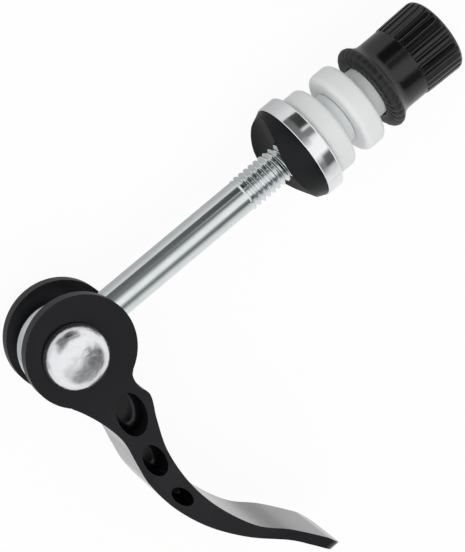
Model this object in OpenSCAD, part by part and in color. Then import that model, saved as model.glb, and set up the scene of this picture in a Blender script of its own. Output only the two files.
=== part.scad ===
// Quick-release binder bolt for a seatpost clamp.
// The rod lies along +X from the lever's pivot to the thumb nut, the pivot pin stands along +Z,
// and the lever points along -Y, as it lies on a table with the cam closed.

/* [Rod] */
// Diameter of the plain shank
shank_d = 5.5; // [4:0.1:8]
// Outside diameter of the rolled thread
thread_d = 5.9; // [4.2:0.1:8.4]
// From the pivot to the first turn of thread
thread_start = 35.5; // [20:0.5:38]
// From the pivot to the end of the rod
rod_l = 75.8; // [70:0.1:76.5]
// Chamfer on the end of the rod
rod_chamfer = 0.6; // [0.2:0.1:1]
// Outside diameter of the eye
eye_d = 13.2; // [12:0.1:13.6]
// Thickness of the eye along the pin
eye_t = 5.8; // [4.5:0.1:6.4]
// Rounding of the eye's two rims
eye_round = 1.8; // [0.2:0.1:2.2]

/* [Pivot pin] */
// Diameter of the pin's shank
pin_d = 5.2; // [4:0.1:6.4]
// Diameter of each head
head_d = 10.2; // [8:0.1:11.5]
// Height of a head's straight wall
head_wall = 1.3; // [0.5:0.1:2.5]
// Radius of the round shoulder above that wall
head_shoulder = 2.6; // [0.5:0.1:3.2]
// Radius of the shallow dome on top
head_dome_r = 12; // [9:0.5:20]

/* [Cam lever] */
// Radius of the two cam discs
cam_r = 9; // [8:0.1:9.4]
// Distance from the pivot to the discs' centre, which sets the clamping stroke
cam_throw = 1.2; // [0.5:0.1:2]
// Rounding of the discs' outer rims
cam_round = 1; // [0.3:0.1:1.6]
// Direction of that throw in the closed position, from the rod's axis
cam_angle = -16; // [-30:1:10]
// Width of the fork across both cheeks
fork_w = 11.6; // [10.8:0.1:12.4]
// Width of the paddle at its broadest
paddle_w = 12.8; // [11.6:0.1:14]
// From the pivot to the tip of the paddle
lever_l = 58.4; // [52:0.2:66]
// Sideways sweep of the tip towards the nut end
lever_sweep = 15.6; // [12:0.1:18]
// Radius of the paddle's corners
corner_r = 4; // [2:0.1:5.5]
// Depth of the oval pockets in each side of the arm
pocket_depth = 4.2; // [1:0.1:4.5]
// Land left between the fork's slot and the eye
slot_room = 0.5; // [0.3:0.1:1]
// From the rod's axis down to the floor of the fork's slot
slot_floor = 4.7; // [4.5:0.1:5.2]

/* [Saddle pad and cup] */
// Turn of the pad about the rod from square with the cam
pad_turn = 87; // [0:1:90]
// Outside diameter of the pad at the cup's lip
pad_d = 16.7; // [15.6:0.1:17.1]
// Height of the pad's horns in front of the cup
pad_h = 4; // [3:0.1:4.6]
// Height of the channel's floor in front of the cup
pad_floor = 1.1; // [0.8:0.1:2]
// Distance across the crests of the two horns
horn_span = 12.2; // [10.5:0.1:13]
// Outside diameter of the cup
cup_d = 17.1; // [16.4:0.1:18]
// Width of the cup's band
cup_w = 3.1; // [2.6:0.1:4]
// Thickness of the cup's wall and floor
cup_wall = 0.7; // [0.5:0.05:1]
// Radius of the cup's back edge
cup_edge = 0.4; // [0.1:0.05:0.45]

/* [Bushes] */
// Diameter of a bush's flange
bush_flange_d = 14.6; // [12:0.1:15.6]
// Thickness of a bush's flange
bush_flange_t = 3.9; // [2.6:0.1:4.6]
// Radius of the flange's edges
bush_edge = 1; // [0.4:0.1:1.2]
// Outside diameter of a bush's tube
bush_tube_d = 8.8; // [8:0.1:9.4]
// Length of the inner bush's tube
inner_tube_l = 2.1; // [1:0.1:4]
// Length of the outer bush's tube that shows in front of the nut
tube_show = 2.25; // [1:0.05:4]
// Depth of the outer bush's tube inside the nut's mouth
tube_in_nut = 1.6; // [1:0.1:2.4]

/* [Thumb nut] */
// From the pivot to the nut's face
nut_x = 62.4; // [60:0.05:63]
// Length of the nut
nut_l = 15; // [13.5:0.1:18]
// Diameter over the nut's flange
nut_flange_d = 14.9; // [14:0.1:16]
// Radius of the flange's rounded rim
nut_bead_r = 1.1; // [0.8:0.05:1.3]
// Diameter of the smooth neck behind the flange
nut_neck_d = 12.5; // [11.5:0.1:12.8]
// Diameter of the ribbed barrel at its far end
nut_barrel_d = 13.1; // [12.5:0.1:14]
// From the nut's face to where the neck begins
neck_start = 3.8; // [3.2:0.1:4.5]
// From the nut's face to where the ribs begin
rib_start = 7.4; // [6.5:0.1:9]
// Number of grooves round the barrel
rib_n = 30; // [16:1:34]
// Radius of each groove between two ribs
rib_groove_r = 0.34; // [0.2:0.02:0.5]
// Smooth land left between the ends of the grooves and the nut's far end
rib_land = 0.8; // [0.4:0.1:1.6]
// Number of radial grooves in the nut's face
tooth_n = 32; // [16:1:34]
// Radius of each radial groove
tooth_groove_r = 0.32; // [0.2:0.02:0.42]
// Lean of each radial groove, which cuts deeper towards the rim
tooth_lean = 5; // [0:1:15]
// Rounding of the barrel's far edge
nut_end_r = 0.9; // [0.4:0.1:1.2]
// Chamfer at the far end of the nut's bore
bore_chamfer = 0.8; // [0.3:0.1:1.2]

/* [Clearances] */
// Running clearance round the pin in the eye, on the radius
pin_clear = 0.05; // [0.02:0.01:0.1]
// Seat clearance of the pin in the cheeks, on the radius
cheek_clear = 0.02; // [0.01:0.01:0.05]
// Clearance of every bore over the thread, on the radius
rod_clear = 0.08; // [0.03:0.01:0.1]
// Clearance of the eye in the fork, on each side
side_clear = 0.2; // [0.1:0.05:0.3]
// Clearance of the pad in its cup, on the radius
cup_clear = 0.08; // [0.05:0.01:0.15]
// Clearance of the outer bush's tube in the nut's mouth, on the radius
mouth_clear = 0.3; // [0.1:0.05:0.4]
// Gap between neighbours along the rod
stack_gap = 0.1; // [0.05:0.01:0.2]

/* [Hidden] */
$fn = 96;

eps = 0.01;
bore_r = thread_d / 2 + rod_clear;
slot_w = eye_t + 2 * side_clear;
slot_r = eye_d / 2 + slot_room;
mouth_r = bush_tube_d / 2 + mouth_clear;
cam_x = cam_throw * cos(cam_angle);
cam_y = cam_throw * sin(cam_angle);

// Stations along the rod, worked back from the nut's face
outer_back_x = nut_x - tube_show;
outer_front_x = outer_back_x - bush_flange_t;
inner_back_x = outer_front_x - stack_gap - inner_tube_l;
inner_front_x = inner_back_x - bush_flange_t;
cup_back_x = inner_front_x - stack_gap;
cup_front_x = cup_back_x - cup_w;
pad_seat_x = cup_front_x - stack_gap;

// A smooth run through a list of points, with n steps between two of them
function catmull(a, b, c, d, t) =
    0.5 * (2 * b + (c - a) * t + (2 * a - 5 * b + 4 * c - d) * t * t + (3 * b - a - 3 * c + d) * t * t * t);
function smooth_run(p, n = 5) = let (m = len(p) - 1) [
    for (i = [0 : m - 1]) for (k = [0 : n - 1])
        catmull(p[max(i - 1, 0)], p[i], p[i + 1], p[min(i + 2, m)], k / n),
    p[m]
];

// Places on the lever's side view: u runs from the pivot to the tip, v across it, both in
// hundredths of the lever's length and of its sweep
function on_lever(uv) = [for (p = uv) [p[1] * lever_sweep / 100, -p[0] * lever_l / 100]];
outer_edge = on_lever([[9.4, -38], [14.2, -28.2], [21.1, -18.8], [28.2, -14.2], [36, -17.7], [43, -20], [53, -14.9],
    [63.7, 0.1], [74, 25], [83.7, 57.9], [89.4, 72.6], [98.6, 87.5]]);
inner_edge = on_lever([[98.6, 99.5], [90.3, 88.5], [81.3, 65.4], [73.2, 39.8], [61.2, 20.5], [49.8, 12.8],
    [38.5, 14.9], [29.6, 25], [23.2, 34.7], [20.6, 33.8], [18.6, 30.2], [16.6, 29.8], [14.2, 33.6], [9, 40]]);

// Lies along X what is drawn as a profile of [x, radius]
module turned() rotate([90, 0, 90]) rotate_extrude() mirror([1, -1]) children();

function arc(c, r, a0, a1, n) = [for (i = [0 : n]) let (a = a0 + (a1 - a0) * i / n) c + r * [cos(a), sin(a)]];

module ring_profile(x0, x1, r0, r1) translate([x0, r0]) square([x1 - x0, r1 - r0]);

module oval(a, b) polygon([for (t = [0 : 10 : 350]) [a * cos(t), b * sin(t)]]);

module bore(x0, x1, r = bore_r) translate([x0, 0, 0]) rotate([0, 90, 0]) cylinder(r = r, h = x1 - x0);

// The eye, the shank and the thread's crest line, forged and rolled as one piece
module eye_bolt() {
    rim = [eye_d / 2 - eye_round, eye_t / 2 - eye_round];
    color("silver") difference() {
        union() {
            rotate_extrude() polygon(concat(
                [[0, -eye_t / 2]], arc([rim[0], -rim[1]], eye_round, -90, 0, 6),
                arc(rim, eye_round, 0, 90, 6), [[0, eye_t / 2]]
            ));
            rotate([0, 90, 0]) cylinder(d = shank_d, h = thread_start + eps);
            translate([thread_start, 0, 0]) rotate([0, 90, 0])
                cylinder(d = thread_d, h = rod_l - rod_chamfer - thread_start);
            translate([rod_l - rod_chamfer, 0, 0]) rotate([0, 90, 0])
                cylinder(r1 = thread_d / 2, r2 = thread_d / 2 - rod_chamfer, h = rod_chamfer);
        }
        cylinder(r = pin_d / 2 + pin_clear, h = eye_t + 2, center = true);
    }
}

// One head stands on the plane z = 0: a straight wall, a round shoulder and a shallow dome
module pin_head() {
    // the shoulder runs into the dome where the two arcs touch
    shoulder = [head_d / 2 - head_shoulder, head_wall];
    lean = asin(shoulder[0] / (head_dome_r - head_shoulder));
    dome = [0, head_wall - (head_dome_r - head_shoulder) * cos(lean)];
    rotate_extrude() polygon(concat(
        [[0, 0], [head_d / 2, 0]],
        arc(shoulder, head_shoulder, 0, 90 - lean, 8),
        arc(dome, head_dome_r, 90 - lean, 90, 4)
    ));
}

module pivot_pin() {
    color("gainsboro") {
        cylinder(d = pin_d, h = fork_w + 2 * eps, center = true);
        for (side = [0, 1]) mirror([0, 0, side]) translate([0, 0, fork_w / 2]) pin_head();
    }
}

// Side view of the arm that sweeps down from the cam discs to the paddle
module arm_side() polygon(concat(smooth_run(outer_edge), smooth_run(inner_edge), [[cam_x, cam_y]]));

// The two cam discs in one piece, before the slot parts them
module cam_discs() {
    rim = [cam_r - cam_round, fork_w / 2 - cam_round];
    translate([cam_x, cam_y, 0]) rotate_extrude() polygon(concat(
        [[0, -fork_w / 2]],
        arc([rim[0], -rim[1]], cam_round, -90, 0, 5),
        arc(rim, cam_round, 0, 90, 5),
        [[0, fork_w / 2]]
    ));
}

// Plan of the lever across the pin: parallel cheeks, then a paddle that broadens to a round tip
module lever_plan() {
    root_y = 2 * cam_r;
    tip = [corner_r - lever_l, paddle_w / 2 - corner_r];
    polygon(concat(
        [[root_y, fork_w / 2], [-0.42 * lever_l, fork_w / 2], [-0.78 * lever_l, paddle_w / 2]],
        arc(tip, corner_r, 90, 180, 6),
        arc([tip[0], -tip[1]], corner_r, 180, 270, 6),
        [[-0.78 * lever_l, -paddle_w / 2], [-0.42 * lever_l, -fork_w / 2], [root_y, -fork_w / 2]]
    ));
}

// Each pocket: where its middle lies on the lever, its half length, half width and lean
pockets = [
    [[23.5, 8.6], 3.75, 2.4, -13],
    [[38.3, -1], 2.95, 1.75, -3],
    [[52.3, 2], 2.2, 1.2, 16]
];

module cam_lever() {
    color([0.13, 0.13, 0.15]) difference() {
        union() {
            cam_discs();
            intersection() {
                linear_extrude(height = paddle_w + 2, center = true) arm_side();
                rotate([0, 0, 90]) rotate([90, 0, 0])
                    linear_extrude(height = 4 * lever_l, center = true) lever_plan();
            }
        }
        // slot for the eye, open all round from the closed to the open position
        cylinder(r = slot_r, h = slot_w, center = true);
        translate([cam_x - 2 * cam_r, -slot_floor, -slot_w / 2]) cube([4 * cam_r, 4 * cam_r, slot_w]);
        // seats of the pin
        cylinder(r = pin_d / 2 + cheek_clear, h = fork_w + 2, center = true);
        // blind oval pockets that leave a web in the middle of the arm
        for (side = [0, 1], p = pockets) mirror([0, 0, side])
            translate(concat(on_lever([p[0]])[0], fork_w / 2 - pocket_depth)) rotate([0, 0, p[3]])
                linear_extrude(height = pocket_depth + paddle_w) oval(p[2], p[1]);
    }
}

// The pad: a spigot in the cup, a tapered brow, and a channel that fits the cam
module saddle_pad() {
    crest = horn_span / 2;
    back_x = cup_back_x - cup_wall - stack_gap;
    color([0.09, 0.09, 0.1]) rotate([pad_turn, 0, 0]) difference() {
        turned() polygon([
            [pad_seat_x - pad_h, 0], [pad_seat_x - pad_h, crest],
            [pad_seat_x - 0.5 * pad_h, (crest + pad_d / 2) / 2 + 0.25], [pad_seat_x, pad_d / 2],
            [pad_seat_x, cup_d / 2 - cup_wall - cup_clear], [back_x, cup_d / 2 - cup_wall - cup_clear], [back_x, 0]
        ]);
        bore(pad_seat_x - pad_h - 1, back_x + 1);
        translate([pad_seat_x - pad_floor - cam_r, 0, 0]) cylinder(r = cam_r, h = 2 * pad_d, center = true);
    }
}

// The polished cup: a band with a floor at its back
module cup_ring() {
    inside_r = cup_d / 2 - cup_wall;
    color("lightgray") turned() difference() {
        union() {
            ring_profile(cup_front_x, cup_back_x - cup_edge, bore_r, cup_d / 2);
            ring_profile(cup_back_x - cup_edge - eps, cup_back_x, bore_r, cup_d / 2 - cup_edge);
            translate([cup_back_x - cup_edge, cup_d / 2 - cup_edge]) circle(r = cup_edge);
        }
        ring_profile(cup_front_x - 1, cup_back_x - cup_wall, 0, inside_r);
    }
}

// A flanged bush with its flange's front at x and its tube towards the nut
module bush(x, tube_l) {
    r = bush_flange_d / 2;
    turned() {
        ring_profile(x, x + bush_flange_t, bore_r, r - bush_edge);
        ring_profile(x + bush_edge, x + bush_flange_t - bush_edge, bore_r, r);
        for (c = [x + bush_edge, x + bush_flange_t - bush_edge]) translate([c, r - bush_edge]) circle(r = bush_edge);
        ring_profile(x, x + bush_flange_t + tube_l, bore_r, bush_tube_d / 2);
    }
}

module inner_bush() color("white") bush(inner_front_x, inner_tube_l);

module outer_bush() color("white") bush(outer_front_x, tube_show + tube_in_nut);

// Half section of the nut: mouth, flange with a round rim, hollow flare, neck, barrel and bore
module nut_section() {
    rim = [nut_x + nut_bead_r, nut_flange_d / 2 - nut_bead_r];
    neck = [nut_x + neck_start, nut_neck_d / 2];
    end_x = nut_x + nut_l;
    end_edge = [end_x - nut_end_r, nut_barrel_d / 2 - nut_end_r];
    // the flare is an arc that touches both the rim and the neck
    reach = neck - rim;
    flare_r = (reach * reach - nut_bead_r * nut_bead_r) / (2 * (nut_bead_r - reach[1]));
    flare = neck + [0, flare_r];
    lean = atan2(flare[1] - rim[1], flare[0] - rim[0]);
    mouth_x = nut_x + tube_in_nut + stack_gap;
    // the barrel starts to widen a little before the ribs
    swell_x = nut_x + rib_start - 0.4;
    polygon(concat(
        [[nut_x, mouth_r]],
        arc(rim, nut_bead_r, 180, lean, 8),
        arc(flare, flare_r, lean + 180, 270, 5),
        [[swell_x, neck[1]]],
        arc(end_edge, nut_end_r, 90, 0, 5),
        [[end_x, bore_r + bore_chamfer], [end_x - bore_chamfer, bore_r], [mouth_x, bore_r], [mouth_x, mouth_r]]
    ));
}

module thumb_nut() {
    color([0.12, 0.12, 0.12]) difference() {
        turned() nut_section();
        for (i = [0 : rib_n - 1]) rotate([360 * i / rib_n, 0, 0])
            translate([nut_x + rib_start, 0, nut_barrel_d / 2 + 0.05]) rotate([0, 90, 0])
                cylinder(r = rib_groove_r, h = nut_l - rib_start - rib_land);
        for (i = [0 : tooth_n - 1]) rotate([360 * (i + 0.5) / tooth_n, 0, 0])
            translate([nut_x - 0.2, 0, mouth_r + 0.3]) rotate([0, tooth_lean, 0])
                cylinder(r = tooth_groove_r, h = nut_flange_d / 2);
    }
}

eye_bolt();
pivot_pin();
cam_lever();
saddle_pad();
cup_ring();
inner_bush();
outer_bush();
thumb_nut();
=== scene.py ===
# Quick-release binder bolt for a seatpost clamp, dressed piece by piece in the order it is put together.
# Sizes are in millimetres, and mm takes them to Blender's metres.
from math import asin, atan2, cos, degrees, hypot, pi, radians, sin, sqrt, tau

import bpy
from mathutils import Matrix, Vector


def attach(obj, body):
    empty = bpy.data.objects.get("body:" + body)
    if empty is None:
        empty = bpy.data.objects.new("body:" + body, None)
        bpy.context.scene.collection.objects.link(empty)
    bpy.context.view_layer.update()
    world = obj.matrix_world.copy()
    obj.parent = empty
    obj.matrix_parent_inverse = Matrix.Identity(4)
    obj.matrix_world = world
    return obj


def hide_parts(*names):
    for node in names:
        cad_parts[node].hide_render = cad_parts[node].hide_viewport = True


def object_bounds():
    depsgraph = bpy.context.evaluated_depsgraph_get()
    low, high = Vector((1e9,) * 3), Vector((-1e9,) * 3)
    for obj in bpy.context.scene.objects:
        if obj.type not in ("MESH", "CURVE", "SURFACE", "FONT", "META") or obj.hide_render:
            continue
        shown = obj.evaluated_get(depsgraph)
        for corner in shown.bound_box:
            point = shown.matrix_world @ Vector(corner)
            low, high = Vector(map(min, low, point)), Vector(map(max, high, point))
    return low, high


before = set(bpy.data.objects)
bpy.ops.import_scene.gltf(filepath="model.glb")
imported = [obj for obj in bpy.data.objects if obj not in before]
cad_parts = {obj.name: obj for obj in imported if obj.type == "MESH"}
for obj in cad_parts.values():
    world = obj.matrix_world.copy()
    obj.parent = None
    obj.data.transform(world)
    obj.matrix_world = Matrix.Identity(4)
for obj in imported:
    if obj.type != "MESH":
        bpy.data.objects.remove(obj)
solid_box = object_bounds()
mm = 0.001


# ---------------------------------------------------------------------------------------------
# The rod. A steel wire is headed to a flat eye at one end, drilled for the lever's pin, rolled with
# an M6 thread at the other and plated with bright zinc.
# ---------------------------------------------------------------------------------------------
eye_r, eye_half, pin_hole_r, forged_round = 7.15, 2.9, 2.65, 0.25
shank_r, headed_r, headed_from, headed_to = 2.75, 3.1, 3.6, 6.3
crest_r, root_r, pitch, thread_turns, thread_rise = 2.95, 2.5, 1.0, 42, 0.45
thread_from, rod_end, end_chamfer = 35.5, 75.8, 0.6


def start_piece(name):
    """Opens a new mesh with one loose vertex at the origin, in edit mode."""
    bpy.ops.object.select_all(action="DESELECT")
    bpy.ops.mesh.primitive_plane_add(size=2 * mm)
    piece = bpy.context.object
    piece.name = piece.data.name = name
    bpy.ops.object.mode_set(mode="EDIT")
    bpy.ops.mesh.merge(type="CENTER")
    return piece


def draw_line(points):
    """Draws a chain of edges through points in millimetres, by extruding the selected vertex."""
    bpy.ops.transform.translate(value=[c * mm for c in points[0]])
    for here, there in zip(points, points[1:]):
        step = [(b - a) * mm for a, b in zip(here, there)]
        bpy.ops.mesh.extrude_region_move(TRANSFORM_OT_translate={"value": step})
    bpy.ops.mesh.select_all(action="SELECT")


def arc(centre, r, start, end, steps):
    """Points along an arc, with both angles in degrees."""
    turns = [radians(start + (end - start) * i / steps) for i in range(steps + 1)]
    return [(centre[0] + r * cos(a), centre[1] + r * sin(a)) for a in turns]


def turned(name, profile, steps, axis="X"):
    """Turns a piece from its half section, a list of (place along the axis, radius)."""
    piece = start_piece(name)
    if axis == "X":
        draw_line([(along, 0, r) for along, r in profile])
        spindle = (1, 0, 0)
    else:
        draw_line([(r, 0, along) for along, r in profile])
        spindle = (0, 0, 1)
    bpy.ops.mesh.spin(steps=steps, angle=tau, center=(0, 0, 0), axis=spindle)
    close_up()
    return piece


def close_up():
    """Ends a drawing: doubles merged, faces outwards, back in object mode."""
    bpy.ops.mesh.select_all(action="SELECT")
    bpy.ops.mesh.remove_doubles(threshold=1e-6)
    bpy.ops.mesh.normals_make_consistent(inside=False)
    bpy.ops.object.mode_set(mode="OBJECT")


def select_only(piece):
    bpy.ops.object.select_all(action="DESELECT")
    bpy.context.view_layer.objects.active = piece
    piece.select_set(True)


def apply_modifier(piece, kind, **settings):
    """Adds one modifier to a piece and applies it at once."""
    select_only(piece)
    step = piece.modifiers.new(kind.title(), kind)
    for key, value in settings.items():
        setattr(step, key, value)
    bpy.ops.object.modifier_apply(modifier=step.name)


def carve(piece, cutter, operation="DIFFERENCE"):
    """Takes a cutter out of a piece, or joins it on, and throws the cutter away."""
    apply_modifier(piece, "BOOLEAN", object=cutter, operation=operation, solver="EXACT")
    bpy.data.objects.remove(cutter)


def round_edges(piece, width, segments, over):
    """Rounds every edge sharper than an angle in degrees, as tumbling or a mould does."""
    apply_modifier(piece, "BEVEL", width=width * mm, segments=segments, limit_method="ANGLE",
                   angle_limit=radians(over), use_clamp_overlap=True, harden_normals=False)


def smooth(piece, angle):
    """Shades a piece smooth, but for edges sharper than an angle in degrees."""
    select_only(piece)
    bpy.ops.object.shade_smooth_by_angle(angle=radians(angle))


class Socket:
    """One output of a shader node, so that sums on values can be written as Python sums."""

    def __init__(self, tree, output=None):
        self.tree, self.output = tree, output

    def node(self, kind, settings=None, result=0, **inputs):
        """Adds a node of a type: its settings first, then values or links, by socket name, or number after an s."""
        new = self.tree.nodes.new("ShaderNode" + kind)
        for key, value in (settings or {}).items():
            if key == "stops":
                ramp = new.color_ramp
                while len(ramp.elements) < len(value):
                    ramp.elements.new(0.5)
                for stop, (place, colour) in zip(ramp.elements, value):
                    stop.position, stop.color = place, colour
            else:
                setattr(new, key, value)
        for key, value in inputs.items():
            socket = new.inputs[int(key[1:])] if key[1:].isdigit() else new.inputs[key.replace("_", " ")]
            if isinstance(value, Socket):
                self.tree.links.new(value.output, socket)
            else:
                socket.default_value = value
        return Socket(self.tree, new.outputs[result])

    def maths(self, operation, a, b=0.0):
        return self.node("Math", {"operation": operation}, s0=a, s1=b)

    def blend(self, low, high):
        """Mixes two colours, with this value as the share of the second."""
        return self.node("Mix", {"data_type": "RGBA"}, 2, s0=self, s6=low, s7=high)

    def __add__(self, other):
        return self.maths("ADD", self, other)

    def __radd__(self, other):
        return self.maths("ADD", other, self)

    def __sub__(self, other):
        return self.maths("SUBTRACT", self, other)

    def __rsub__(self, other):
        return self.maths("SUBTRACT", other, self)

    def __mul__(self, other):
        return self.maths("MULTIPLY", self, other)

    def __rmul__(self, other):
        return self.maths("MULTIPLY", other, self)


def new_finish(name, **constants):
    """Opens a material and returns it with its shader and its place on the object as a Socket."""
    material = bpy.data.materials.new(name)
    material.use_nodes = True
    tree = material.node_tree
    shader = tree.nodes["Principled BSDF"]
    for key, value in constants.items():
        shader.inputs[key.replace("_", " ")].default_value = value
    place = Socket(tree).node("TexCoord", result="Object")
    return material, shader, place


def feed(shader, **sockets):
    """Links values that change over the surface to the shader's inputs."""
    for key, value in sockets.items():
        value.tree.links.new(value.output, shader.inputs[key.replace("_", " ")])


def finish_with(piece, material):
    """Gives a piece its one material, in its one slot."""
    piece.data.materials.clear()
    piece.data.materials.append(material)


# the eye: forged round at its rim, flat on both faces and drilled for the pin
eye_rod = turned("eye_rod", [(-eye_half, pin_hole_r)] + arc((0, eye_r - eye_half), eye_half, 180, 0, 28)
                 + [(eye_half, pin_hole_r), (-eye_half, pin_hole_r)], steps=128, axis="Z")

# the shank, which swells a little where it was headed into the eye and sinks to the thread's root
shank_end, core_r = thread_from + 1.0, root_r - 0.05
shank = turned("shank", [(headed_from, 0), (headed_from, headed_r), (headed_to, headed_r),
                         (headed_to + 0.9, shank_r + 0.11), (headed_to + 2.1, shank_r), (headed_to + 2.6, shank_r),
                         (shank_end - 0.4, shank_r), (shank_end, shank_r), (shank_end + 1.6, core_r),
                         (shank_end + 3, core_r), (shank_end + 3, 0)], steps=128)
carve(eye_rod, shank, "UNION")
round_edges(eye_rod, forged_round, 3, 50)

# the thread: one pitch of its profile, drawn once and screwed along the rod
thread = start_piece("thread")
one_pitch = [(0, crest_r), (0.14, crest_r), (0.43, root_r + 0.03), (0.5, root_r), (0.57, root_r),
             (0.64, root_r + 0.03), (0.93, crest_r), (1, crest_r)]
draw_line([(thread_from - pitch + x * pitch, 0, r) for x, r in one_pitch])
bpy.ops.object.mode_set(mode="OBJECT")
apply_modifier(thread, "SCREW", axis="X", angle=tau, screw_offset=pitch * mm, iterations=thread_turns, steps=40,
               render_steps=40, use_merge_vertices=True, merge_threshold=1e-6, use_smooth_shade=True)
# it rises out of the shank over its first turns, and the rod's end is chamfered
for vertex in thread.data.vertices:
    x, y, z = (c / mm for c in vertex.co)
    r = hypot(y, z)
    rising = shank_r - 0.25 + (x - thread_from) * thread_rise
    chamfered = crest_r - end_chamfer + rod_end - x
    keep = min(r, max(rising, root_r - 0.1), max(chamfered, 0.2)) / r
    vertex.co = (min(x, rod_end) * mm, y * keep * mm, z * keep * mm)
# both open ends are closed with a face
select_only(thread)
bpy.ops.object.mode_set(mode="EDIT")
bpy.ops.mesh.select_all(action="DESELECT")
bpy.ops.mesh.select_non_manifold(extend=False, use_wire=False, use_multi_face=False,
                                 use_non_contiguous=False, use_verts=False)
bpy.ops.mesh.edge_face_add()
close_up()
eye_rod.select_set(True)
bpy.context.view_layer.objects.active = eye_rod
bpy.ops.object.join()
smooth(eye_rod, 38)

zinc, zinc_shader, zinc_place = new_finish("bright_zinc", Metallic=1.0)
stretched = zinc_place.node("Mapping", Vector=zinc_place, Scale=(60, 2600, 2600))
drawn_marks = zinc_place.node("TexNoise", Vector=stretched, Scale=1.0, Detail=3.0)
clouds = zinc_place.node("TexNoise", Vector=zinc_place, Scale=420.0, Detail=4.0)
plate_tone = clouds.blend((0.66, 0.71, 0.73, 1), (0.83, 0.86, 0.86, 1))
zinc_bump = zinc_place.node("Bump", Strength=0.12, Distance=0.02 * mm, Height=drawn_marks + clouds * 0.6)
feed(zinc_shader, Base_Color=plate_tone, Roughness=0.05 + 0.16 * drawn_marks, Normal=zinc_bump)
finish_with(eye_rod, zinc)
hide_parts("eye_bolt")
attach(eye_rod, "rod")


# ---------------------------------------------------------------------------------------------
# The cam lever. Cast and coated satin black: two discs that turn off-centre on the pin, an arm that
# sweeps down in an S with three blind pockets in each side, and a thin paddle for the fingers.
# ---------------------------------------------------------------------------------------------
cam_r, cam_throw, cam_angle = 8.9, 1.25, -16
lever_l, lever_sweep, tip_from_pin, tip_corner = 58.4, 15.6, 56.2, 2.0
fork_half, paddle_half, stock_half, beyond = 5.8, 6.4, 8, 60
slot_half, slot_r, slot_floor, pin_seat_r = 3.8, 7.5, 4.7, 2.62
pocket_round, cast_round = 1.1, 0.4
cam_x, cam_y = cam_throw * cos(radians(cam_angle)), cam_throw * sin(radians(cam_angle))


def on_lever(places):
    """Turns hundredths of the lever's length and sweep into x and y."""
    return [(v * lever_sweep / 100, -u * lever_l / 100) for u, v in places]


def smooth_run(points, steps=8):
    """A smooth line through a list of points."""
    run = []
    for i in range(len(points) - 1):
        a, b, c, d = (points[min(max(k, 0), len(points) - 1)] for k in (i - 1, i, i + 1, i + 2))
        for k in range(steps):
            t = k / steps
            run.append(tuple(0.5 * (2 * q + (r - p) * t + (2 * p - 5 * q + 4 * r - s) * t * t
                                    + (3 * q - p - 3 * r + s) * t ** 3) for p, q, r, s in zip(a, b, c, d)))
    return run + [points[-1]]


def slab(name, outline, low, high, lift=lambda x, y, z: (x, y, z)):
    """A flat plate: an outline filled with one face and pulled from low to high. lift says which way it lies."""
    piece = start_piece(name)
    draw_line([lift(x, y, low) for x, y in outline])
    bpy.ops.mesh.edge_face_add()
    rise = [(b - a) * mm for a, b in zip(lift(0, 0, low), lift(0, 0, high))]
    bpy.ops.mesh.extrude_region_move(TRANSFORM_OT_translate={"value": rise})
    close_up()
    return piece


# the arm's side view: down its outer edge to the paddle's tip, and up its inner edge to the notch below the eye
outer_edge = on_lever([(9.4, -38), (14.2, -28.2), (21.1, -18.8), (28.2, -14.2), (36, -17.7), (43, -20),
                       (53, -14.9), (63.7, 0.1), (74, 25), (83.7, 57.9), (89.4, 72.8), (93, 81.5), (96.3, 88.7)])
inner_edge = on_lever([(97.2, 100.6), (93.1, 94.5), (90.3, 88.9), (81.3, 65.4), (73.2, 39.8), (61.2, 20.5),
                       (49.8, 12.8), (38.5, 14.9), (29.6, 25), (25.7, 31.2), (23.9, 33.9), (22.3, 35.2), (21, 34.4),
                       (19.6, 32.3), (18.2, 31.3), (16.8, 31.2), (15.5, 32.1), (14.6, 33.7), (13.4, 38.3), (12, 43)])
# the arm's line leaves and meets the discs' circle, and the circle closes it round the top
arm_line = [(x, y) for x, y in smooth_run(outer_edge) + smooth_run(inner_edge)
            if hypot(x - cam_x, y - cam_y) > cam_r + 0.05]
leaves, meets = (degrees(atan2(y - cam_y, x - cam_x)) for x, y in (arm_line[0], arm_line[-1]))
arm = slab("cam_lever_coated", arm_line + arc((cam_x, cam_y), cam_r, meets + 1, leaves + 359, 130),
           -stock_half, stock_half)
# its front view, which the side view is cut by: the fork's cheeks, widening to the paddle
tip_y, widens_y, paddle_y = tip_corner - tip_from_pin, -0.42 * lever_l, -0.78 * lever_l
front = ([(2 * cam_r, fork_half), (widens_y, fork_half), (paddle_y, paddle_half)]
         + arc((tip_y, paddle_half - tip_corner), tip_corner, 90, 180, 10)
         + arc((tip_y, tip_corner - paddle_half), tip_corner, 180, 270, 10)
         + [(paddle_y, -paddle_half), (widens_y, -fork_half), (2 * cam_r, -fork_half)])
carve(arm, slab("front", front, -beyond, beyond, lambda along, across, x: (x, along, across)), "INTERSECT")

# the slot for the eye, and the pin's seats
bpy.ops.mesh.primitive_cylinder_add(vertices=128, radius=slot_r * mm, depth=2 * slot_half * mm)
carve(arm, bpy.context.object)
bpy.ops.mesh.primitive_cube_add(size=1, location=(cam_x * mm, (2 * cam_r - slot_floor) * mm, 0),
                                scale=(4 * cam_r * mm, 4 * cam_r * mm, 2 * slot_half * mm))
carve(arm, bpy.context.object)
bpy.ops.mesh.primitive_cylinder_add(vertices=64, radius=pin_seat_r * mm, depth=4 * fork_half * mm)
carve(arm, bpy.context.object)
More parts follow.
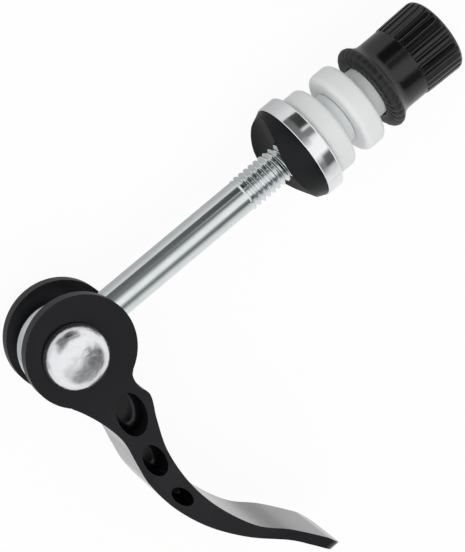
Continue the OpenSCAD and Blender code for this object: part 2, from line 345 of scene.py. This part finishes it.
# the pockets, oval and round-bottomed: place on the lever, half length, half width, lean in degrees and depth
pockets = [((23.5, 8.6), 3.75, 2.4, -13, 4.3),
           ((38.3, -1), 2.95, 1.75, -3, 4.6),
           ((51.8, -1.6), 2.2, 1.2, 16, 4.8)]
cutter_l = 10
for place, half_l, half_w, lean, depth in pockets:
    px, py = on_lever([place])[0]
    for side in (1, -1):
        pz = side * (fork_half - depth + cutter_l / 2)
        bpy.ops.mesh.primitive_cylinder_add(vertices=56, radius=1, depth=cutter_l * mm,
                                            location=(px * mm, py * mm, pz * mm), rotation=(0, 0, radians(lean)),
                                            scale=(half_w * mm, half_l * mm, 1))
        bpy.ops.object.transform_apply(location=False, rotation=False, scale=True)
        round_edges(bpy.context.object, pocket_round, 5, 40)
        carve(arm, bpy.context.object)
# slivers that the cuts left are merged before the edges are rounded
select_only(arm)
bpy.ops.object.mode_set(mode="EDIT")
bpy.ops.mesh.select_all(action="SELECT")
bpy.ops.mesh.remove_doubles(threshold=0.02 * mm)
bpy.ops.mesh.dissolve_limited(angle_limit=radians(0.5))
bpy.ops.object.mode_set(mode="OBJECT")
round_edges(arm, cast_round, 3, 34)
smooth(arm, 30)
apply_modifier(arm, "WEIGHTED_NORMAL", keep_sharp=True)

coat, coat_shader, coat_place = new_finish("satin_black_coat", Specular_IOR_Level=0.3, Coat_IOR=1.3,
                                           Coat_Roughness=0.16)
grain = coat_place.node("TexNoise", Vector=coat_place, Scale=2600.0, Detail=2.0)
drift = coat_place.node("TexNoise", Vector=coat_place, Scale=180.0, Detail=4.0)
coat_bump = coat_place.node("Bump", Strength=0.08, Distance=0.02 * mm, Height=grain)
# the arm is glossier than the discs, where fingers and the closing stroke have polished it
rubbed = coat_place.node("MapRange", Value=coat_place.node("SeparateXYZ", result="Y", Vector=coat_place),
                         From_Min=-8 * mm, From_Max=-14 * mm)
coat_tone = rubbed.blend((0.006, 0.006, 0.008, 1), drift.blend((0.003, 0.003, 0.004, 1), (0.008, 0.008, 0.011, 1)))
feed(coat_shader, Base_Color=coat_tone, Coat_Weight=0.7 * rubbed, Roughness=0.36 + 0.12 * drift - 0.2 * rubbed,
     Normal=coat_bump)
finish_with(arm, coat)
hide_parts("cam_lever")
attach(arm, "lever")


# ---------------------------------------------------------------------------------------------
# The pivot pin. A rivet of plated steel through both cheeks and the eye, with a wide domed head
# formed on each side.
# ---------------------------------------------------------------------------------------------
pin_r, neck_r, neck_h = 2.6, 4.1, 0.4
head_r, head_wall, head_shoulder, dome_r = 5.15, 0.9, 2.5, 12.0
under_head = fork_half + neck_h
shoulder = (fork_half + head_wall, head_r - head_shoulder)
dome_half = degrees(asin(shoulder[1] / (dome_r - head_shoulder)))
dome = (shoulder[0] - (dome_r - head_shoulder) * cos(radians(dome_half)), 0)
half_pin = ([(0, pin_r), (fork_half, pin_r), (fork_half, neck_r), (under_head, neck_r), (under_head, head_r)]
            + arc(shoulder, head_shoulder, 90, dome_half, 12) + arc(dome, dome_r, dome_half, 0, 8)[1:])
rivet = turned("pivot_rivet", [(-z, r) for z, r in reversed(half_pin[1:])] + half_pin, steps=96, axis="Z")
smooth(rivet, 40)

rivet_plate, rivet_shader, rivet_place = new_finish("rivet_plate", Metallic=1.0)
hammered = rivet_place.node("TexNoise", Vector=rivet_place, Scale=400.0, Detail=1.5, Distortion=0.3)
pits = rivet_place.node("TexNoise", Vector=rivet_place, Scale=1500.0, Detail=3.0)
rivet_tone = pits.blend((0.76, 0.77, 0.80, 1), (0.94, 0.94, 0.96, 1))
rivet_bump = rivet_place.node("Bump", Strength=0.65, Distance=0.3 * mm, Height=hammered + 0.04 * pits)
feed(rivet_shader, Base_Color=rivet_tone, Roughness=0.14 + 0.2 * pits, Normal=rivet_bump)
finish_with(rivet, rivet_plate)
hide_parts("pivot_pin")
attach(rivet, "lever")


# ---------------------------------------------------------------------------------------------
# The cup. A shallow steel cup, drawn and polished, that holds the pad and bears on the clamp's ear.
# ---------------------------------------------------------------------------------------------
cup_front, cup_back, cup_r, cup_wall, bore_r = 46.95, 50.05, 8.55, 0.7, 3.03
cup_edge, lip_outside, lip_inside = 0.4, 0.2, 0.12
cup = turned("polished_cup", [(cup_back - cup_wall, bore_r), (cup_back - cup_wall, cup_r - cup_wall)]
             + [(cup_front + lip_inside, cup_r - cup_wall), (cup_front, cup_r - cup_wall + lip_inside)]
             + arc((cup_front + lip_outside, cup_r - lip_outside), lip_outside, 180, 90, 4)
             + arc((cup_back - cup_edge, cup_r - cup_edge), cup_edge, 90, 0, 6)
             + [(cup_back, bore_r), (cup_back - cup_wall, bore_r)], steps=160)
smooth(cup, 40)

polish, polish_shader, polish_place = new_finish("polished_chrome", Metallic=1.0)
turning_marks = polish_place.node("TexNoise", Scale=1.0, Detail=2.0,
                                  Vector=polish_place.node("Mapping", Vector=polish_place, Scale=(3000, 120, 120)))
haze = polish_place.node("TexNoise", Vector=polish_place, Scale=260.0, Detail=4.0)
polish_tone = haze.blend((0.82, 0.83, 0.86, 1), (0.93, 0.94, 0.95, 1))
polish_bump = polish_place.node("Bump", Strength=0.05, Distance=0.01 * mm, Height=turning_marks)
feed(polish_shader, Base_Color=polish_tone, Roughness=0.05 + 0.08 * haze, Normal=polish_bump)
finish_with(cup, polish)
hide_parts("cup_ring")
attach(cup, "cup")


# ---------------------------------------------------------------------------------------------
# The saddle pad. A black nylon moulding that sits in the cup, with a channel across it in which
# the two cam discs bear. It turns freely on the rod, and lies turned in the photograph.
# ---------------------------------------------------------------------------------------------
pad_turn, pad_r, pad_h, pad_floor, pad_round = 87, 8.35, 4.0, 1.1, 0.3
horn_r, pad_swell, channel_r, cup_gap, spigot_gap = 6.1, 0.25, 9.0, 0.1, 0.08
pad_seat, pad_back, spigot_r = cup_front - cup_gap, cup_back - cup_wall - cup_gap, cup_r - cup_wall - spigot_gap
pad_top = pad_seat - pad_h
half_way = (pad_top + pad_h / 2, (horn_r + pad_r) / 2 + pad_swell)
pad = turned("nylon_pad", [(pad_top, bore_r), (pad_top, horn_r), half_way,
                           (pad_seat, pad_r), (pad_seat, spigot_r), (pad_back, spigot_r), (pad_back, bore_r),
                           (pad_top, bore_r)], steps=128)
bpy.ops.object.select_all(action="DESELECT")
bpy.ops.mesh.primitive_cylinder_add(vertices=160, radius=channel_r * mm, depth=40 * mm,
                                    location=((pad_seat - pad_floor - channel_r) * mm, 0, 0),
                                    rotation=(radians(pad_turn), 0, 0))
carve(pad, bpy.context.object)
round_edges(pad, pad_round, 3, 30)
smooth(pad, 34)

nylon, nylon_shader, nylon_place = new_finish("black_nylon", Specular_IOR_Level=0.2)
mould_grain = nylon_place.node("TexNoise", Vector=nylon_place, Scale=1900.0, Detail=3.0)
mould_flow = nylon_place.node("TexNoise", Vector=nylon_place, Scale=240.0, Detail=3.0, Distortion=1.0)
nylon_tone = mould_flow.blend((0.003, 0.003, 0.004, 1), (0.008, 0.009, 0.010, 1))
nylon_bump = nylon_place.node("Bump", Strength=0.15, Distance=0.03 * mm, Height=mould_grain + mould_flow)
feed(nylon_shader, Base_Color=nylon_tone, Roughness=0.30 + 0.16 * mould_flow, Normal=nylon_bump)
finish_with(pad, nylon)
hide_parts("saddle_pad")
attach(pad, "pad")


# ---------------------------------------------------------------------------------------------
# The bushes. Two moulded nylon bushes, left white: a thick soft-edged flange on a short tube that
# centres the rod in the clamp's ear. The outer one's tube enters the nut's mouth.
# ---------------------------------------------------------------------------------------------
flange_r, flange_t, flange_round, tube_r, tube_foot, tube_end, bore_chamfer = 7.3, 3.9, 1.0, 4.4, 0.25, 0.3, 0.1
inner_front, inner_tube_l, outer_front, outer_tube_l = 50.15, 2.15, 56.25, 4.2


def bush(name, front, tube_l):
    back, end, wide_bore_r = front + flange_t, front + flange_t + tube_l, bore_r + bore_chamfer
    piece = turned(name, [(front, wide_bore_r)]
                   + arc((front + flange_round, flange_r - flange_round), flange_round, 180, 90, 7)
                   + arc((back - flange_round, flange_r - flange_round), flange_round, 90, 0, 7)
                   + arc((back + tube_foot, tube_r + tube_foot), tube_foot, 180, 270, 4)
                   + arc((end - tube_end, tube_r - tube_end), tube_end, 90, 0, 6)
                   + [(end, wide_bore_r), (end - bore_chamfer, bore_r), (front + bore_chamfer, bore_r),
                      (front, wide_bore_r)], steps=112)
    smooth(piece, 40)
    finish_with(piece, natural_nylon)
    return piece


natural_nylon, bush_shader, bush_place = new_finish("natural_nylon", Subsurface_Weight=0.25,
                                                    Subsurface_Scale=0.6 * mm, Subsurface_Radius=(1.0, 1.0, 1.0))
bush_grain = bush_place.node("TexNoise", Vector=bush_place, Scale=1500.0, Detail=3.0)
bush_cloud = bush_place.node("TexNoise", Vector=bush_place, Scale=170.0, Detail=3.0)
bush_tone = bush_cloud.blend((0.71, 0.73, 0.73, 1), (0.79, 0.80, 0.80, 1))
bush_bump = bush_place.node("Bump", Strength=0.1, Distance=0.03 * mm, Height=bush_grain + bush_cloud)
feed(bush_shader, Base_Color=bush_tone, Roughness=0.38 + 0.14 * bush_cloud, Normal=bush_bump)

inner_bush = bush("inner_nylon_bush", inner_front, inner_tube_l)
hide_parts("inner_bush")
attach(inner_bush, "inner_bush")
outer_bush = bush("outer_nylon_bush", outer_front, outer_tube_l)
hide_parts("outer_bush")
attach(outer_bush, "outer_bush")


# ---------------------------------------------------------------------------------------------
# The thumb nut. One black moulding with its thread inside: a bell-mouthed flange with radial teeth,
# a smooth hollow waist, and a barrel with straight ribs for the fingers.
# ---------------------------------------------------------------------------------------------
nut_x, nut_l, nut_flange_r, rim_round, waist_r, barrel_r = 62.4, 15.0, 7.45, 1.1, 6.25, 6.55
waist_from, ribs_from, end_round, mouth_r, mouth_l, thread_chamfer = 3.8, 7.4, 0.9, 4.7, 1.7, 0.8
ribs, rib_depth, rib_rise, rib_land, rib_share = 30, 0.28, 0.08, 0.8, 0.6
teeth, tooth_depth, tooth_share, tooth_land = 32, 0.11, 0.75, 0.15
nut_end = nut_x + nut_l
# the flare is the one arc that leaves the rim smoothly and runs out level at the waist
rim = (nut_x + rim_round, nut_flange_r - rim_round)
waist = (nut_x + waist_from, waist_r)
reach = (waist[0] - rim[0], waist[1] - rim[1])
flare_r = (reach[0] ** 2 + reach[1] ** 2 - rim_round ** 2) / (2 * (rim_round - reach[1]))
flare = (waist[0], waist[1] + flare_r)
flare_lean = degrees(atan2(flare[1] - rim[1], flare[0] - rim[0]))


def along_barrel():
    """The barrel's line from the waist to its rounded end, with short steps where the ribs start and stop."""
    a, b = (nut_x + ribs_from - 0.4, waist_r), (nut_end - end_round, barrel_r)
    shares = [0, 0.02, 0.04, 0.06, 0.08, 0.11, 0.16, 0.3, 0.5, 0.7, 0.86, 0.9, 0.93, 0.95, 0.97]
    return [(a[0] + (b[0] - a[0]) * share, a[1] + (b[1] - a[1]) * share) for share in shares]


def from_groove(turn, count):
    """How far round a place lies from the nearest of so many grooves: 0 in one, 1 half-way between two."""
    return abs(turn * count - round(turn * count)) * 2


def ramp_up(distance, length):
    """Rises evenly from 0 to 1 over a length."""
    return max(0.0, min(1.0, distance / length))


face_line = [(nut_x, mouth_r + (rim[1] - mouth_r) * i / 5) for i in range(5)]
nut = turned("ribbed_nut", face_line + arc(rim, rim_round, 180, flare_lean, 14)
             + arc(flare, flare_r, flare_lean + 180, 270, 8)[1:] + along_barrel()
             + arc((nut_end - end_round, barrel_r - end_round), end_round, 90, 0, 7)
             + [(nut_end, bore_r + thread_chamfer), (nut_end - thread_chamfer, bore_r), (nut_x + mouth_l, bore_r),
                (nut_x + mouth_l, mouth_r), (nut_x, mouth_r)], steps=480)
# the ribs stand between hollow grooves, and the teeth between shallow grooves that run on over the rim;
# both kinds of groove fade in and out over short lengths
face_end = rim[0] + 0.8
for vertex in nut.data.vertices:
    x, y, z = (c / mm for c in vertex.co)
    r, turn = hypot(y, z), atan2(y, z) / tau
    shift, r_new = 0.0, r
    if x > nut_x + ribs_from - 0.1 and r > barrel_r - 1:
        from_start, to_stop = x - nut_x - ribs_from, nut_end - rib_land - x
        hollow = sqrt(max(0.0, 1 - (from_groove(turn, ribs) / rib_share) ** 2))
        rise = rib_rise * ramp_up(from_start, 0.25) * ramp_up(to_stop, 5)
        r_new = r + rise - (rib_depth + rise) * hollow * ramp_up(from_start, 0.15) * ramp_up(to_stop + 0.3, 0.5)
    elif x < face_end and r > mouth_r + tooth_land:
        hollow = 0.5 + 0.5 * cos(pi * min(1.0, from_groove(turn + 0.5 / teeth, teeth) / tooth_share))
        push = tooth_depth * hollow * ramp_up(face_end - x, 0.6) * ramp_up(r - mouth_r - tooth_land, 0.6)
        tilt = asin(max(0.0, min(1.0, (r - rim[1]) / rim_round)))
        shift, r_new = push * cos(tilt), r - push * sin(tilt)
    vertex.co = ((x + shift) * mm, y * r_new / r * mm, z * r_new / r * mm)
smooth(nut, 40)

moulded, moulded_shader, moulded_place = new_finish("moulded_black", Specular_IOR_Level=0.55)
nut_grain = moulded_place.node("TexNoise", Vector=moulded_place, Scale=1700.0, Detail=4.0)
nut_cloud = moulded_place.node("TexNoise", Vector=moulded_place, Scale=260.0, Detail=3.0)
moulded_tone = nut_cloud.blend((0.0015, 0.0015, 0.0015, 1), (0.005, 0.005, 0.0055, 1))
# the flange's face is left as the mould's eroded surface gives it, rougher than the rest
rough_face = moulded_place.node("MapRange", Value=moulded_place.node("SeparateXYZ", Vector=moulded_place),
                                From_Min=(nut_x + 1.2) * mm, From_Max=(nut_x + 2.6) * mm, To_Min=0.3, To_Max=0.0)
moulded_bump = moulded_place.node("Bump", Strength=0.3, Distance=0.04 * mm, Height=nut_grain)
feed(moulded_shader, Base_Color=moulded_tone, Roughness=0.11 + 0.14 * nut_cloud + rough_face, Normal=moulded_bump)
finish_with(nut, moulded)
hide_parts("thumb_nut")
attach(nut, "nut")


# ---------------------------------------------------------------------------------------------
# The studio: a white floor just under the part, whose mirrored glow carries a painted shade beside the rod, a surround
# that looks white but gives metal its light and dark bands, two soft lamps and the camera.
# ---------------------------------------------------------------------------------------------
bpy.ops.object.select_all(action="DESELECT")
bpy.ops.mesh.primitive_circle_add(vertices=96, radius=1.6, fill_type="NGON", location=(0, 0, solid_box[0][2]))
floor = bpy.context.object
floor.name = "floor"


def rays_of(socket, *kinds):
    """1 for rays of any of these kinds and 0 for others."""
    share = 0.0
    for kind in kinds:
        share = share + socket.node("LightPath", result=f"Is {kind} Ray")
    return socket.maths("MINIMUM", share, 1.0)


def greys(levels):
    """A ramp's settings, from its (place, grey) stops."""
    return {"stops": [(place, (grey, grey, grey, 1)) for place, grey in levels]}


paper = bpy.data.materials.new("white_paper")
paper.use_nodes = True
paper_shader = paper.node_tree.nodes["Principled BSDF"]
paper_shader.inputs["Base Color"].default_value = (0.86, 0.86, 0.86, 1)
paper_shader.inputs["Roughness"].default_value = 0.9
paper_glow = 0.94
sheet = Socket(paper.node_tree)
# painted shade: metal mirrors the floor's glow darker on the rod's +Y side, most within about 12 mm of it, where the
# part's own shadow would lie
floor_y = sheet.node("SeparateXYZ", result="Y", Vector=sheet.node("TexCoord", result="Object"))
mirrored_painted_shade = sheet.node("ValToRGB", greys([(0.0, 0.88), (0.2, 0.86), (0.28, 0.5), (0.4, 0.5), (0.65, 0.66), (1.0, 0.75)]),
                      Fac=sheet.node("MapRange", Value=floor_y, From_Min=-20 * mm, From_Max=60 * mm))
# camera rays see this glow plain white; glossy and transmission rays see it with the painted shade
glow_with_painted_shade = sheet.node("Emission", Color=rays_of(sheet, "Camera").blend(mirrored_painted_shade, (1, 1, 1, 1)), Strength=1.0)
# what is left of the paper's own shading keeps the part's shadow
shown = sheet.node("MixShader", s0=paper_glow * rays_of(sheet, "Camera", "Glossy", "Transmission"),
                   s1=Socket(paper.node_tree, paper_shader.outputs[0]), s2=glow_with_painted_shade)
paper.node_tree.links.new(shown.output, paper.node_tree.nodes["Material Output"].inputs["Surface"])
floor.data.materials.append(paper)

# the surround: bands that run along the rod, as black cards and white sheets stand round such a part;
# each stop is a turn round the rod from +Y (0) over the top to -Y (1)
world = bpy.data.worlds.new("studio")
bpy.context.scene.world = world
world.use_nodes = True
air = Socket(world.node_tree)
toward = air.node("TexCoord", result="Generated")
lengthways, across, up = (air.node("SeparateXYZ", result=axis, Vector=toward) for axis in "XYZ")
round_rod = air.maths("ARCTAN2", up, across) * (1 / pi)
bands_near = [(0.0, 0.25), (0.03, 0.14), (0.3, 0.21), (0.36, 0.43), (0.455, 1.0), (0.58, 1.0), (0.69, 0.25),
              (0.75, 0.22), (0.88, 0.75), (0.95, 0.88)]
bands_far = [(0.0, 0.25), (0.02, 0.06), (0.15, 0.04), (0.2, 0.06), (0.235, 0.8), (0.265, 0.2), (0.33, 0.22),
             (0.37, 0.8), (0.42, 1.0), (0.58, 1.0), (0.635, 0.13), (0.76, 0.1), (0.81, 0.6), (0.95, 0.85)]
beside_rod, beside_cup = (air.node("ValToRGB", greys(bands), Fac=round_rod) for bands in (bands_near, bands_far))
# the cards stand closer beside the cup and the nut than beside the rod
cards = air.node("MapRange", Value=lengthways, From_Min=0.16, From_Max=0.21).blend(beside_rod, beside_cup)
# past the ends of the cards, towards -X and +X, the surround is white
past_ends = air.node("MapRange", Value=air.maths("ABSOLUTE", lengthways - 0.15), From_Min=0.4, From_Max=0.65)
cards = past_ends.blend(cards, (0.95, 0.95, 0.95, 1))
surround = rays_of(air, "Camera", "Transmission").blend(cards, (1, 1, 1, 1))
air.tree.links.new(surround.output, world.node_tree.nodes["Background"].inputs["Color"])


def softbox(name, place, aim, size, watts):
    """A square area lamp, turned from its place to a point, which metal doesn't mirror."""
    bpy.ops.object.light_add(type="AREA", location=place)
    lamp = bpy.context.object
    lamp.name = name
    lamp.data.energy, lamp.data.size = watts, size
    lamp.visible_glossy = False
    lamp.rotation_euler = (Vector(place) - Vector(aim)).to_track_quat("Z", "Y").to_euler()


mid_rod = (0.03, 0, 0)
softbox("key", (-0.1, -0.1, 0.55), mid_rod, 0.4, 0.9)
softbox("fill", (-0.2, 0.35, 0.35), mid_rod, 0.4, 0.5)

# the camera stands where the photograph's outlines of the rod, the cup and the discs put it
bpy.ops.object.camera_add(location=(-0.02624, 0.12324, 0.28134),
                          rotation=(radians(-14.2549), radians(-23.1662), radians(-35.0274)))
camera = bpy.context.object
camera.data.lens, camera.data.sensor_width = 131.45, 36
camera.data.clip_start, camera.data.clip_end = 0.01, 10
scene = bpy.context.scene
scene.camera = camera
scene.view_settings.view_transform = "Standard"
